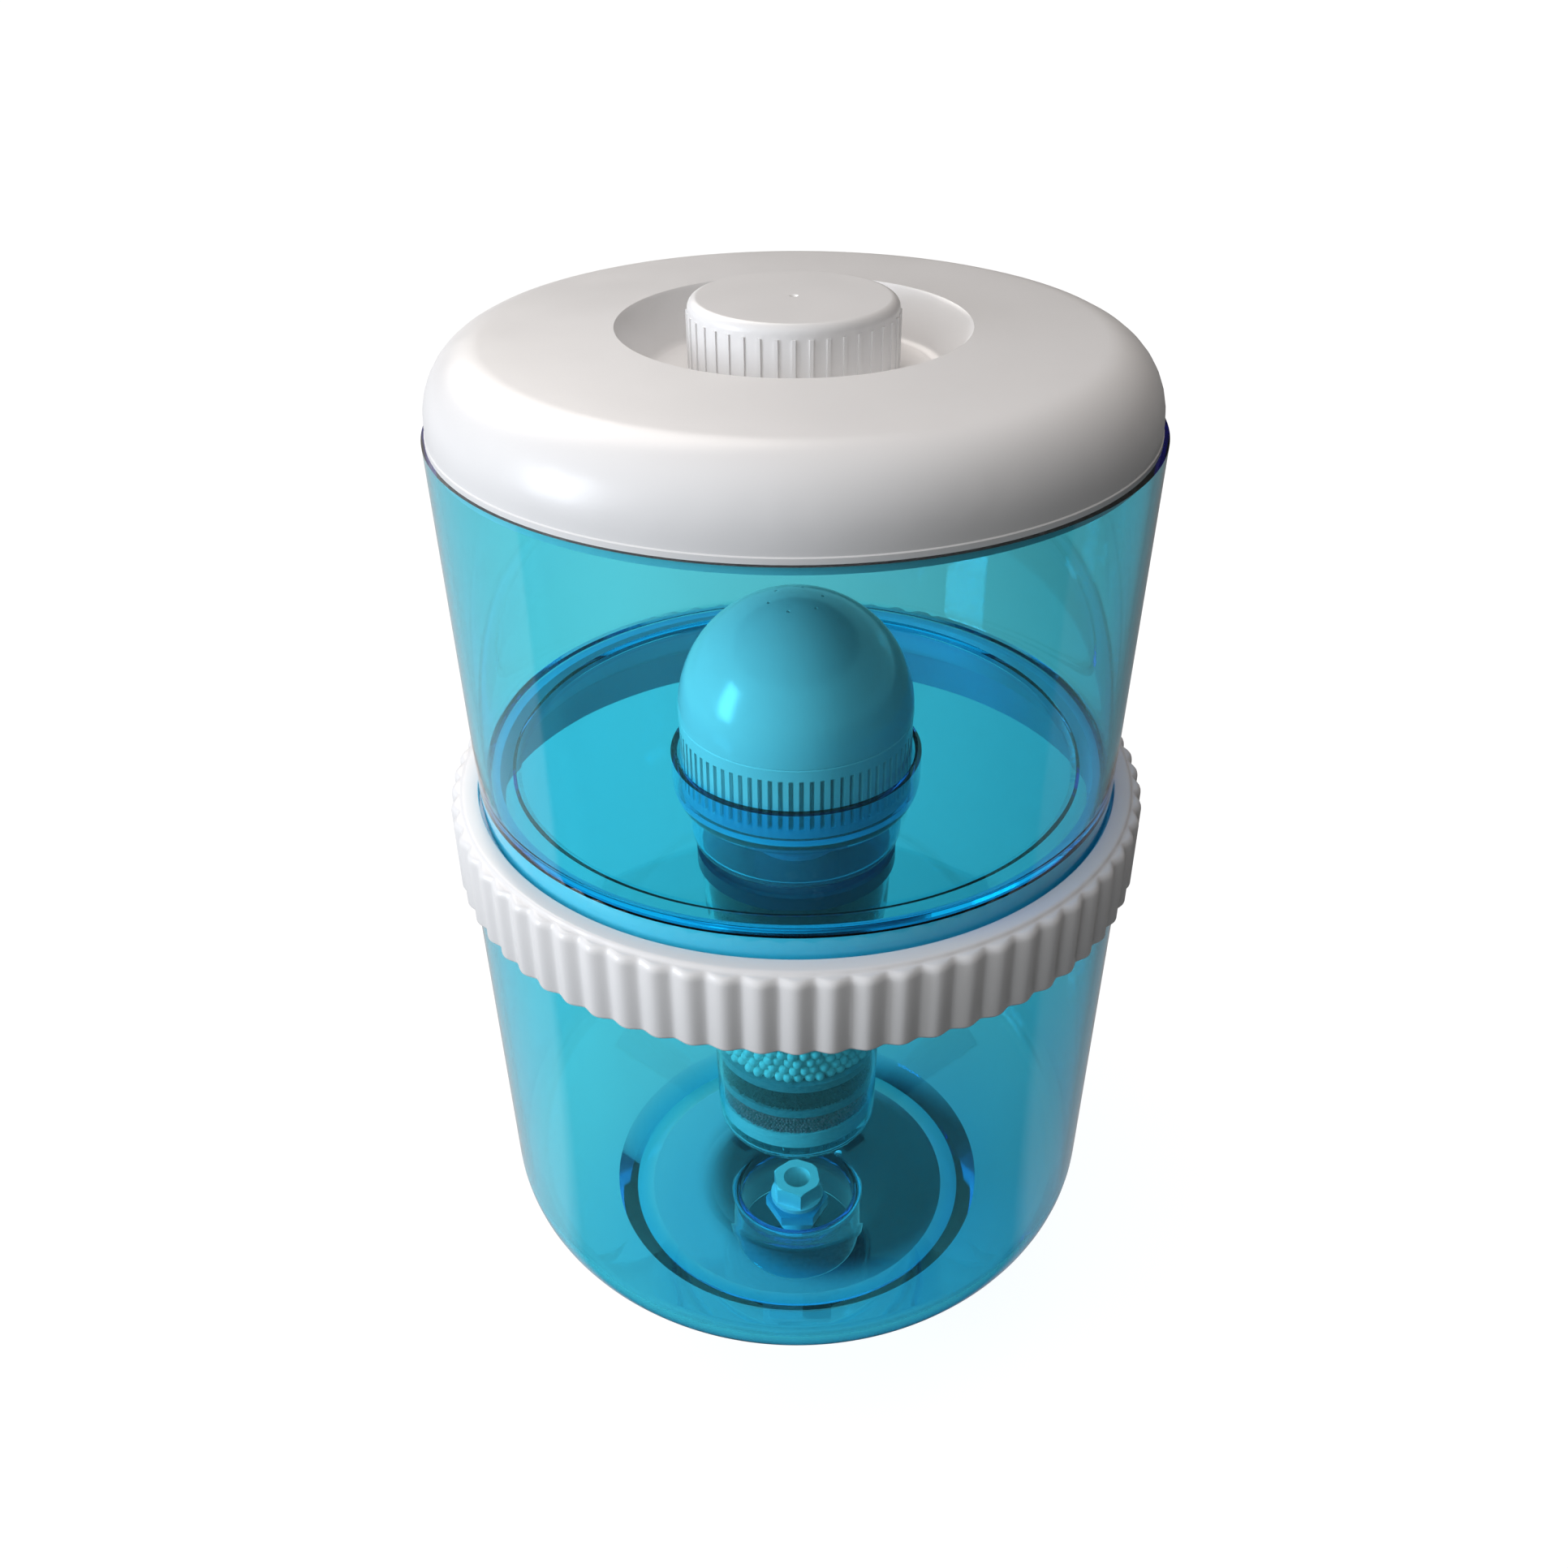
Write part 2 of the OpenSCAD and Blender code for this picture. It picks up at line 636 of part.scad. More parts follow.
module dome_shell() {
    vent_tilt = asin(vent_circle_d / 2 / dome_r);
    lip_r = filter_base_r - filter_wall - seat;
    color(dome_blue)
        difference() {
            revolve(concat(
                [[lip_r - lip_w, seam_z - lip_h], [lip_r, seam_z - lip_h],
                 [lip_r, seam_z], [dome_r - seam_groove, seam_z],
                 [dome_r, seam_z + seam_groove]],
                arc([0, dome_centre_z], dome_r, dome_r, 0, 90, 18),
                arc([0, dome_centre_z], dome_r - filter_wall, dome_r - filter_wall,
                    90, 0, 18),
                [[lip_r - lip_w, dome_centre_z]]));
            for (i = [0:vent_count - 1])
                rotate(i * 360 / vent_count + 15)
                    translate([0, 0, dome_centre_z])
                        rotate([0, vent_tilt, 0])
                            translate([0, 0, dome_r - 2 * filter_wall])
                                cylinder(d = vent_d, h = 3 * filter_wall, $fn = 16);
        }
}

module ceramic_element() {
    top = dome_centre_z - 2;
    inner_r = ceramic_r - ceramic_wall;
    color([0.96, 0.95, 0.91])
        revolve(concat(
            [[inner_r, ceramic_bottom], [ceramic_r, ceramic_bottom]],
            arc([0, top], ceramic_r, ceramic_r, 0, 90, 12),
            arc([0, top], inner_r, inner_r, 90, 0, 12)));
}

module element_gasket() {
    color(silicone)
        tube(ceramic_r, ceramic_r - ceramic_wall - edge, base_floor_z, ceramic_bottom);
}

module stem_gasket() {
    color(silicone)
        tube(hub_r, stem_r, well_floor_z, stem_gasket_top);
}

module cartridge_gasket() {
    color(silicone)
        tube(hub_r, socket_r + edge, cap_top_z, well_bottom_z);
}

// Cap of the cartridge: a plate, a rim over the housing and a socket for the stem
module cartridge_cap() {
    cap_rim_r = cartridge_top_r + cap_rim_wall;
    color([0.10, 0.42, 0.62])
        revolve([
            [socket_r, cap_top_z], [cap_rim_r - edge, cap_top_z],
            [cap_rim_r, cap_top_z - edge], [cap_rim_r, cap_plate_z - cap_rim_h],
            [cartridge_top_r, cap_plate_z - cap_rim_h],
            [cartridge_top_r, cap_plate_z], [socket_r + socket_wall, cap_plate_z],
            [socket_r + socket_wall, socket_bottom], [socket_r, socket_bottom]]);
}

module cartridge_housing() {
    outer = cartridge_bottom_r - cartridge_corner_r;
    inner_corner = cartridge_corner_r - cartridge_wall;
    color(clear_plastic)
        difference() {
            revolve(concat(
                [[0, housing_bottom_z]],
                arc([outer, housing_bottom_z + cartridge_corner_r],
                    cartridge_corner_r, cartridge_corner_r, -90, 0, 5),
                [[cartridge_top_r, housing_top_z],
                 [cartridge_top_r - cartridge_wall, housing_top_z]],
                arc([outer, housing_bottom_z + cartridge_corner_r],
                    inner_corner, inner_corner, 0, -90, 5),
                [[0, support_bottom]]));
            // outlet holes in the bottom
            for (row = [1:hole_rows])
                for (i = [0:6 * row - 1])
                    rotate(i * 60 / row)
                        translate([row * hole_pitch, 0, housing_bottom_z - overlap])
                            cylinder(d = hole_d, h = cartridge_wall + 2 * overlap);
        }
}

module fleece_pad() {
    color([0.93, 0.94, 0.94])
        bed(fleece_bottom, fleece_top);
}

module carbon_bed() {
    color([0.06, 0.07, 0.08])
        bed(carbon_bottom, fleece_bottom);
}

module divider_discs() {
    color(clear_plastic)
        for (z = [first_divider, second_divider, third_divider])
            bed(z, z + divider_thickness);
}

module mineral_ball_bed() {
    color([0.55, 0.80, 0.78])
        bed(ball_bottom, third_divider);
}

module silver_carbon_bed() {
    color([0.07, 0.10, 0.13])
        bed(silver_bottom, second_divider);
}

module mineral_sand_bed() {
    color([0.38, 0.30, 0.33])
        bed(sand_bottom, first_divider);
}

module polishing_pad() {
    color([0.80, 0.90, 0.90])
        bed(pad_bottom, sand_bottom);
}

// Coarse grid that keeps the pad off the outlet holes
module support_grid() {
    corner = cartridge_corner_r - cartridge_wall;
    bar = 2;
    cell = 7;
    color(clear_plastic)
        difference() {
            revolve(concat(
                [[0, support_bottom]],
                arc([cartridge_bottom_r - cartridge_corner_r - bed_gap,
                     support_bottom + corner],
                    corner, corner, -90, 0, 5),
                [[bed_r(pad_bottom), pad_bottom], [0, pad_bottom]]));
            for (x = [-3:3])
                for (y = [-3:3])
                    if (norm([x, y]) * cell + cell / 2 < cartridge_bottom_r - cartridge_corner_r)
                        translate([x * cell - (cell - bar) / 2, y * cell - (cell - bar) / 2,
                                   support_bottom - overlap])
                            cube([cell - bar, cell - bar, support_h + 2 * overlap]);
        }
}

lower_tank();
outlet_fitting();
outlet_washer();
outlet_nut();
tank_gasket();
clamp_ring();
upper_tank();
lid();
cap_liner();
fill_cap();
filter_base();
dome_shell();
ceramic_element();
element_gasket();
stem_gasket();
cartridge_gasket();
cartridge_cap();
cartridge_housing();
fleece_pad();
carbon_bed();
divider_discs();
mineral_ball_bed();
silver_carbon_bed();
mineral_sand_bed();
polishing_pad();
support_grid();
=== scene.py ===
"""Looks of a two-tank gravity water purifier: clear blue tanks, white fittings, and the
balls, beads and granules of its filter cartridge. Metres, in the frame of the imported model."""

import math
import random

import bpy
from mathutils import Matrix, Vector


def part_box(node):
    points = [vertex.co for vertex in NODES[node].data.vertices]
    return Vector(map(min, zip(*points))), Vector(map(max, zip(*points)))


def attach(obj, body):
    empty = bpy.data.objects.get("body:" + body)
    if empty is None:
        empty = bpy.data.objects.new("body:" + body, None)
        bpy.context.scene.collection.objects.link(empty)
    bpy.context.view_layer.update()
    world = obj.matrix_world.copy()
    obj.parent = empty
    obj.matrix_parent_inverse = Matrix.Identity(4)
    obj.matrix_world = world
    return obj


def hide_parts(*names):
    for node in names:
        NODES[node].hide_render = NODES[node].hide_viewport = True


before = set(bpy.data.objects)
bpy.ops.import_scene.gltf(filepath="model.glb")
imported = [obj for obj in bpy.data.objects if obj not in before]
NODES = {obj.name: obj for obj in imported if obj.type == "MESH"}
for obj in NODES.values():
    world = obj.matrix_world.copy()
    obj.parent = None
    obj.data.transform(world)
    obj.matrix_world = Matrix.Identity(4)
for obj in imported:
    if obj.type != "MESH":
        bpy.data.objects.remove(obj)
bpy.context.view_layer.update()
RANDOM = random.Random(7)

# Camera, fitted to the outline and the circular edges of the object
CAMERA_AT = (0.0, -0.450, 0.5356)
LOOK_DOWN_DEG = 33.15
ROLL_DEG = -0.13
LENS_MM = 33.80
SENSOR_MM = 36.0
SHIFT_X = -0.00776

# Window light on the left
WINDOW_FROM = Vector((-0.93, -0.33, 0.22))
WINDOW_DISTANCE = 2.2
WINDOW_SIZE = (0.62, 1.1)
WINDOW_POWER = 27.0
WINDOW_COLOUR = (0.87, 0.92, 1.0)
AIM_AT = Vector((0.0, 0.0, 0.25))

# Surroundings as lobes: colour, direction, range of the dot product with that direction, and
# the level at both ends of the range. The first three light the object, the fourth is seen
# mirrored in it, and the fifth is seen through it. The backdrop's level is what the camera sees.
CEILING = ((1.0, 0.91, 0.85), (-0.30, 0.0, 0.954), (0.50, 1.0), (0.0, 1.18))
FRONT_SKY = ((0.88, 0.95, 1.0), (-0.70, -0.62, 0.36), (0.30, 1.0), (0.0, 1.0))
BACK_FILL = ((1.0, 0.95, 0.90), (0.15, 0.95, 0.27), (0.50, 1.0), (0.0, 0.45))
MIRRORED_LAMP = ((1.0, 0.95, 0.90), (-0.42, 0.62, 0.66), (0.86, 0.97), (0.04, 5.0))
SEEN_BEHIND = ((1.0, 0.93, 0.91), (0.0, 1.0, 0.0), (-0.3, 0.5), (0.90, 1.05))
BACKDROP = 1.0

# Floor: its shade to the camera and in bounced light, its shade through the tanks, with a
# painted shadow under them and painted shade in front, a painted pool of window light, and its
# own glow
FLOOR_HALF = 30.0
FLOOR_SHADE = 0.20
FLOOR_BOUNCE = 0.06
FLOOR_SHADE_THROUGH = (0.90, 1.0, 0.94)
# Painted shade on the floor in front, seen only through the tanks: where it begins, and its level
FLOOR_FRONT = (-0.18, -0.125)
FLOOR_FRONT_SHADE = 0.55
FLOOR_GLOW = 0.90
FLOOR_GLOW_REFLECTED = 0.55
TABLE_EDGE = -0.06
TABLE_EDGE_BLUR = 0.012
# Painted pool of window light on the floor: full on the left, fading to the right
WINDOW_SIDE = (-0.15, 0.35)
WINDOW_SIDE_LEVELS = (1.0, 0.3)
# Painted shadow on the floor, seen only through the tanks: its centre, the radii over which it
# fades, and its shade
UNDER_TANK = Vector((0.018, 0.034, 0.0))
PAINTED_SHADOW_RADII = (0.048, 0.068)
PAINTED_SHADOW_SHADE = 0.05

# Light passes many clear walls before it leaves the tanks
MAX_BOUNCES = 24

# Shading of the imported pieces, and how finely the clear tanks are turned
SHARP_DEG = 32.0
CLEAR_SHARP_DEG = 20.0
WELD = 1e-6
TURNED_STEPS = 240

# Clamp ring: grip lobes, and its section as (radius, height above its foot, share of lobe)
LOBES = 70
LOBE_DEPTH = 0.0016
LOBE_STEPS = 14
LOBE_ROUNDNESS = 1.5
RING_SECTION = (
    (0.1129, 0.0276, 0), (0.1129, 0.0297, 0), (0.1131, 0.02995, 0), (0.1134, 0.0300, 0),
    (0.1177, 0.0299, 0), (0.1184, 0.02975, 0), (0.1188, 0.0294, 0), (0.1191, 0.0290, 0.05),
    (0.1196, 0.0287, 0.2), (0.1203, 0.0286, 0.5), (0.1210, 0.0285, 0.8), (0.1217, 0.0281, 1),
    (0.1222, 0.0275, 1), (0.12255, 0.0266, 1), (0.1227, 0.0256, 1), (0.1227, 0.0012, 1),
    (0.12255, 0.0006, 1), (0.1222, 0.0002, 1), (0.1217, 0.0, 1), (0.1196, 0.0, 0),
    (0.1190, 0.0004, 0), (0.1190, 0.0276, 0))

# Filter media: radii of the grains and their gap to the housing, in metres
BALL_R = 0.0023
SAND_R = 0.0008
CHIP_R = 0.0009
MEDIA_GAP = 0.0001

# How grains vary and lie: sizes and chips' corners as shares of the radius; the distance in a
# row, the depth they sink in and the insets of the top layer and the core in radii; the
# distance of rows and the jitter in a row as shares of the distance in a row
GRAIN_SIZES = (0.88, 1.0)
CHIP_CORNERS = (0.45, 0.85)
CHIP_SHAPES = 12
GRAIN_PITCH = 1.75
SINK = 0.5
TOP_INSET = 3
TOP_FILL = 0.72
CORE_INSET = 1.6
CORE_END = 0.5
CORE_SIDES = 64
ROW_PITCH = 0.87
ROW_JITTER = 0.18

# Plastics: how strongly the clear one bends light, the noise above which it is scratched, and
# how much less and more rough the patches of the others are
CLEAR_IOR = 1.5
SCRATCH_ABOVE = 0.74
RUBBED = (-0.05, 0.07)


# ---- node helpers -------------------------------------------------------------------

def new_material(name):
    """A node material with its Principled shader at hand."""
    material = bpy.data.materials.new(name)
    material.use_nodes = True
    tree = material.node_tree
    return material, tree, tree.nodes["Principled BSDF"], tree.nodes["Material Output"]


def add(tree, kind, inputs=None, **settings):
    """A node with its settings. Each input is a plain value or the socket that feeds it."""
    node = tree.nodes.new(kind)
    for key, value in settings.items():
        setattr(node, key, value)
    for key, value in (inputs or {}).items():
        if isinstance(value, bpy.types.NodeSocket):
            tree.links.new(value, node.inputs[key])
        else:
            node.inputs[key].default_value = value
    return node


def grey(level):
    """An opaque grey."""
    return (level, level, level, 1)


def object_coordinates(tree, scale=(1, 1, 1)):
    """Position in the object's own frame, in metres times scale."""
    place = add(tree, "ShaderNodeTexCoord").outputs["Object"]
    return add(tree, "ShaderNodeMapping", {"Vector": place, "Scale": scale}).outputs["Vector"]


def noise(tree, scale, detail=2.0, rough=0.5, stretch=(1, 1, 1)):
    """Soft clouds from 0 to 1. A small stretch along an axis draws them out along it."""
    return add(tree, "ShaderNodeTexNoise", {
        "Vector": object_coordinates(tree, stretch), "Scale": scale, "Detail": detail,
        "Roughness": rough}).outputs["Fac"]


def calculate(tree, operation, *values, clamp=False):
    """Arithmetic on sockets and plain numbers."""
    node = add(tree, "ShaderNodeMath", dict(enumerate(values)), operation=operation)
    node.use_clamp = clamp
    return node.outputs[0]


def product(tree, first, *others):
    """The product of sockets and plain numbers."""
    for value in others:
        first = calculate(tree, "MULTIPLY", first, value)
    return first


def fit(tree, value, ends, levels=(0.0, 1.0), smooth=False):
    """Maps one range onto another, and stays inside it."""
    return add(tree, "ShaderNodeMapRange", {
        "Value": value, "From Min": ends[0], "From Max": ends[1], "To Min": levels[0],
        "To Max": levels[1]}, interpolation_type="SMOOTHSTEP" if smooth else "LINEAR",
    ).outputs["Result"]


def mixed(tree, kind, factor, first, second):
    """Mixes two plain numbers (FLOAT) or two colours (RGBA)."""
    return add(tree, "ShaderNodeMix", {"Factor": factor, "A": first, "B": second},
               data_type=kind).outputs["Result"]


def ramp(tree, factor, dark, light, ends):
    """A colour from dark to light between both ends of a factor."""
    node = add(tree, "ShaderNodeValToRGB", {"Fac": factor})
    for element, position, colour in zip(node.color_ramp.elements, ends, (dark, light)):
        element.position = position
        element.color = (*colour, 1)
    return node.outputs["Color"]


def bump(tree, shader, height, distance):
    """Relief of a height from 0 to 1, over a distance in metres."""
    node = add(tree, "ShaderNodeBump", {"Height": height, "Distance": distance})
    tree.links.new(node.outputs["Normal"], shader.inputs["Normal"])


def rays(tree, *names):
    """1 for rays of any of these kinds, else 0."""
    path = add(tree, "ShaderNodeLightPath")
    value = path.outputs[names[0]]
    for name in names[1:]:
        value = calculate(tree, "MAXIMUM", value, path.outputs[name])
    return value


def reflection_rays(tree):
    """1 for mirrored rays, else 0. Rays bent through glass count as glossy too, and are left
    out."""
    path = add(tree, "ShaderNodeLightPath").outputs
    return calculate(tree, "SUBTRACT", path["Is Glossy Ray"], path["Is Transmission Ray"],
                     clamp=True)


# ---- materials ----------------------------------------------------------------------

def clear_plastic(name, absorbs, density, scuffed, wave=0.0001):
    """Clear moulded plastic. The tint comes from the depth of plastic that light crosses, so
    rims and edges are deep in colour; lamps reach what is inside through the walls. Its skin
    waves a little along the mould's draw, and is scuffed in faint clouds and fine scratches."""
    material, tree, shader, output = new_material(name)
    shader.inputs["Base Color"].default_value = (1, 1, 1, 1)
    shader.inputs["Transmission Weight"].default_value = 1.0
    shader.inputs["IOR"].default_value = CLEAR_IOR
    clouds = fit(tree, noise(tree, scale=16, detail=5, rough=0.65), (0, 1),
                 (-0.5 * scuffed, scuffed))
    scratches = calculate(tree, "GREATER_THAN", noise(tree, scale=90, stretch=(1, 1, 0.03)),
                          SCRATCH_ABOVE)
    rough = calculate(tree, "MULTIPLY_ADD", scratches, scuffed, clouds, clamp=True)
    tree.links.new(rough, shader.inputs["Roughness"])
    bump(tree, shader, noise(tree, scale=24, detail=1, rough=0.4, stretch=(1, 1, 0.25)), wave)
    open_to = rays(tree, "Is Shadow Ray", "Is Diffuse Ray")
    open_shader = add(tree, "ShaderNodeBsdfTransparent").outputs["BSDF"]
    walls = add(tree, "ShaderNodeMixShader", {0: open_to, 1: shader.outputs["BSDF"],
                                              2: open_shader})
    tree.links.new(walls.outputs["Shader"], output.inputs["Surface"])
    inside = add(tree, "ShaderNodeVolumeAbsorption", {"Color": (*absorbs, 1), "Density": density})
    tree.links.new(inside.outputs["Volume"], output.inputs["Volume"])
    return material


def moulded(name, light, dark, roughness, grain=0.00002, grain_scale=900, streaks=0.0):
    """Opaque moulded plastic: faint flow marks in the colour, a fine grain, rubbed patches in
    the gloss, and streaks along the mould's draw."""
    material, tree, shader, _ = new_material(name)
    flow = noise(tree, scale=14, detail=4, rough=0.6, stretch=(1, 1, 0.35))
    if streaks:
        lines = noise(tree, scale=75, detail=3, rough=0.6, stretch=(1, 1, 0.06))
        flow = mixed(tree, "FLOAT", streaks, flow, lines)
    colour = ramp(tree, flow, dark, light, ends=(0.3, 0.7))
    tree.links.new(colour, shader.inputs["Base Color"])
    patches = fit(tree, noise(tree, scale=60, detail=3), (0, 1),
                  [roughness + more for more in RUBBED])
    tree.links.new(patches, shader.inputs["Roughness"])
    bump(tree, shader, noise(tree, scale=grain_scale), grain)
    return material


def fibres(name, light, dark):
    """Matted filter fleece."""
    material, tree, shader, _ = new_material(name)
    tangle = noise(tree, scale=420, detail=6, rough=0.7, stretch=(1, 1, 2.2))
    colour = ramp(tree, tangle, dark, light, ends=(0.35, 0.65))
    tree.links.new(colour, shader.inputs["Base Color"])
    shader.inputs["Roughness"].default_value = 0.95
    bump(tree, shader, tangle, distance=0.0006)
    return material


def media(name, light, dark, roughness, scale, height, gloss=0.5):
    """Granules or beads, each a slightly different shade."""
    material, tree, shader, _ = new_material(name)
    cells = add(tree, "ShaderNodeTexVoronoi", {"Vector": object_coordinates(tree),
                                               "Scale": scale}, feature="F1")
    colour = ramp(tree, cells.outputs["Color"], dark, light, ends=(0.2, 0.8))
    tree.links.new(colour, shader.inputs["Base Color"])
    shader.inputs["Roughness"].default_value = roughness
    shader.inputs["Specular IOR Level"].default_value = gloss
    bump(tree, shader, noise(tree, scale=scale * 8, detail=3), height)
    return material


TANK = clear_plastic("tank_plastic", absorbs=(0.12, 0.888, 0.987), density=400, scuffed=0.03)
CLEAR = clear_plastic("cartridge_plastic", absorbs=(0.40, 0.86, 0.90), density=120,
                      scuffed=0.015)
DEEP = moulded("deep_blue_plastic", light=(0.02, 0.11, 0.20), dark=(0.01, 0.07, 0.14),
               roughness=0.25)
WHITE = moulded("white_plastic", light=(0.84, 0.83, 0.83), dark=(0.82, 0.81, 0.805),
                roughness=0.30)
PALE = moulded("pale_blue_plastic", light=(0.90, 0.97, 0.98), dark=(0.84, 0.94, 0.96),
               roughness=0.15, streaks=0.5)
RUBBER = moulded("silicone_rubber", light=(0.90, 0.93, 0.94), dark=(0.85, 0.89, 0.90),
                 roughness=0.45)
CERAMIC = moulded("fired_ceramic", light=(0.93, 0.91, 0.86), dark=(0.86, 0.84, 0.79),
                  roughness=0.8, grain=0.0002, grain_scale=400)
FLEECE = fibres("filter_fleece", light=(0.90, 0.95, 0.95), dark=(0.72, 0.82, 0.84))
DIVIDER = fibres("divider_fleece", light=(0.26, 0.40, 0.44), dark=(0.16, 0.26, 0.30))
CARBON_FLEECE = fibres("carbon_fleece", light=(0.05, 0.055, 0.065), dark=(0.015, 0.02, 0.025))
BALLS = media("mineral_ball", light=(0.93, 0.95, 0.90), dark=(0.78, 0.88, 0.84),
              roughness=0.55, scale=190, height=0.0002)
CARBON = media("carbon_granule", light=(0.025, 0.025, 0.03), dark=(0.006, 0.006, 0.008),
               roughness=0.6, scale=500, height=0.0002, gloss=0.08)
SAND = media("mineral_sand_bead", light=(0.62, 0.16, 0.17), dark=(0.26, 0.06, 0.07),
             roughness=0.45, scale=600, height=0.0001, gloss=0.15)

NODE_MATERIALS = {
    "lower_tank": TANK, "upper_tank": TANK,
    "clamp_ring": WHITE, "lid": WHITE, "fill_cap": WHITE, "outlet_nut": WHITE,
    "filter_base": PALE, "dome_shell": PALE, "outlet_fitting": PALE,
    "outlet_washer": RUBBER, "tank_gasket": RUBBER, "cap_liner": RUBBER,
    "element_gasket": RUBBER, "stem_gasket": RUBBER, "cartridge_gasket": RUBBER,
    "ceramic_element": CERAMIC,
    "cartridge_cap": DEEP, "cartridge_housing": CLEAR, "support_grid": CLEAR,
    "divider_discs": DIVIDER, "fleece_pad": CARBON_FLEECE, "polishing_pad": FLEECE,
    "carbon_bed": CARBON, "silver_carbon_bed": CARBON,
    "mineral_ball_bed": BALLS, "mineral_sand_bed": SAND,
}


# ---- shading ------------------------------------------------------------------------

def soft_shading(sharp_deg):
    """Geometry nodes that shade a moulded piece smooth across its fine facets and keep its
    corners sharp."""
    group = bpy.data.node_groups.new("soft_shading", "GeometryNodeTree")
    for side in ("INPUT", "OUTPUT"):
        group.interface.new_socket("Geometry", in_out=side, socket_type="NodeSocketGeometry")
    angle = add(group, "GeometryNodeInputMeshEdgeAngle").outputs["Unsigned Angle"]
    sharp = add(group, "FunctionNodeCompare", {0: angle, 1: math.radians(sharp_deg)},
                data_type="FLOAT", operation="GREATER_THAN").outputs["Result"]
    chain = (
        add(group, "NodeGroupInput"),
        add(group, "GeometryNodeMergeByDistance", {"Distance": WELD}),
        add(group, "GeometryNodeRemoveAttribute", {"Name": "custom_normal"}),
        add(group, "GeometryNodeSetShadeSmooth", {"Shade Smooth": True}, domain="FACE"),
        add(group, "GeometryNodeSetShadeSmooth", {"Shade Smooth": False, "Selection": sharp},
            domain="EDGE"),
        add(group, "NodeGroupOutput"))
    for before, after in zip(chain, chain[1:]):
        group.links.new(before.outputs[0], after.inputs[0])
    return group


def soften(piece, shading):
    """Smooth shading with sharp corners."""
    piece.modifiers.new("soft_shading", "NODES").node_group = shading


def shade(piece, shading):
    """Smooth shading with sharp corners, whose flat faces stay flat."""
    soften(piece, shading)
    piece.modifiers.new("flat_faces_flat", "WEIGHTED_NORMAL").keep_sharp = True


def dress_nodes(shading, clear_shading):
    """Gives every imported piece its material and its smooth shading."""
    for name, material in NODE_MATERIALS.items():
        piece = NODES[name]
        piece.data.materials.clear()
        piece.data.materials.append(material)
        shade(piece, clear_shading if material in (TANK, CLEAR) else shading)


# ---- turned pieces ------------------------------------------------------------------

def make_object(name, vertices, faces, material, smooth=True):
    """A piece of its own from points and faces."""
    mesh = bpy.data.meshes.new(name)
    mesh.from_pydata(vertices, [], faces)
    mesh.materials.append(material)
    mesh.polygons.foreach_set("use_smooth", [smooth] * len(mesh.polygons))
    mesh.update()
    piece = bpy.data.objects.new(name, mesh)
    bpy.context.scene.collection.objects.link(piece)
    return piece


def turned_faces(columns, rows):
    """Faces of a closed section turned all the way round, whose points run column by
    column."""
    faces = []
    for i in range(columns):
        start, beside = i * rows, (i + 1) % columns * rows
        for j in range(rows):
            k = (j + 1) % rows
            faces.append((start + j, start + k, beside + k, beside + j))
    return faces


def section(node):
    """The closed section of a turned piece as (radius, height) points in order, read along
    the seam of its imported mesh."""
    mesh = NODES[node].data
    seam = {v.index: (round(v.co.x, 6), round(v.co.z, 6)) for v in mesh.vertices
            if abs(v.co.y) < WELD and v.co.x > 0}
    beside = {}
    for edge in mesh.edges:
        a, b = (seam.get(i) for i in edge.vertices)
        if a and b and a != b:
            beside.setdefault(a, set()).add(b)
            beside.setdefault(b, set()).add(a)
    path = [min(beside)]
    while True:
        onward = [point for point in sorted(beside[path[-1]]) if point not in path]
        if not onward:
            return path
        path.append(onward[0])


def make_tanks(shading):
    """Both tanks, turned in many even steps, so that their clear walls bend light evenly all
    the way round."""
    for node in ("lower_tank", "upper_tank"):
        outline = section(node)
        area = sum(a[0] * b[1] - b[0] * a[1] for a, b in zip(outline, outline[1:] + outline[:1]))
        if area > 0:
            outline.reverse()
        vertices = []
        for i in range(TURNED_STEPS):
            turn = 2 * math.pi * i / TURNED_STEPS
            vertices += [(r * math.cos(turn), r * math.sin(turn), z) for r, z in outline]
        tank = make_object(node + "_walls", vertices, turned_faces(TURNED_STEPS, len(outline)),
                           TANK)
        shade(tank, shading)
        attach(tank, node)
        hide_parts(node)


def make_ring(shading):
    """The clamp ring with its soft lobes: the rounded shoulder follows each lobe and the
    valleys between them are rounded too."""
    columns = LOBES * LOBE_STEPS
    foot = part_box("clamp_ring")[0].z
    vertices = []
    for i in range(columns):
        turn = 2 * math.pi * i / columns
        lobe_share = (i / LOBE_STEPS) % 1 - 0.5
        valley = 1 - math.cos(math.pi * lobe_share) ** LOBE_ROUNDNESS
        for radius, height, share in RING_SECTION:
            away = radius - share * valley * LOBE_DEPTH
            vertices.append((away * math.cos(turn), away * math.sin(turn), foot + height))
    ring = make_object("scalloped_ring", vertices, turned_faces(columns, len(RING_SECTION)),
                       WHITE)
    soften(ring, shading)
    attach(ring, "clamp_ring")
    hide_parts("clamp_ring")


# ---- filter media as real balls, beads and granules ---------------------------------

def round_bead(rows=6, columns=10):
    """Unit sphere of few faces, as vertices and faces."""
    vertices = [Vector((0, 0, -1))]
    for i in range(1, rows):
        angle = math.pi * i / rows - math.pi / 2
        for j in range(columns):
            turn = 2 * math.pi * j / columns
            vertices.append(Vector((math.cos(angle) * math.cos(turn),
                                    math.cos(angle) * math.sin(turn), math.sin(angle))))
    vertices.append(Vector((0, 0, 1)))
    last = len(vertices) - 1
    faces = [(0, 1 + (j + 1) % columns, 1 + j) for j in range(columns)]
    for i in range(rows - 2):
        low, high = 1 + i * columns, 1 + (i + 1) * columns
        for j in range(columns):
            k = (j + 1) % columns
            faces.append((low + j, low + k, high + k, high + j))
    top = 1 + (rows - 2) * columns
    faces += [(last, top + j, top + (j + 1) % columns) for j in range(columns)]
    return vertices, faces


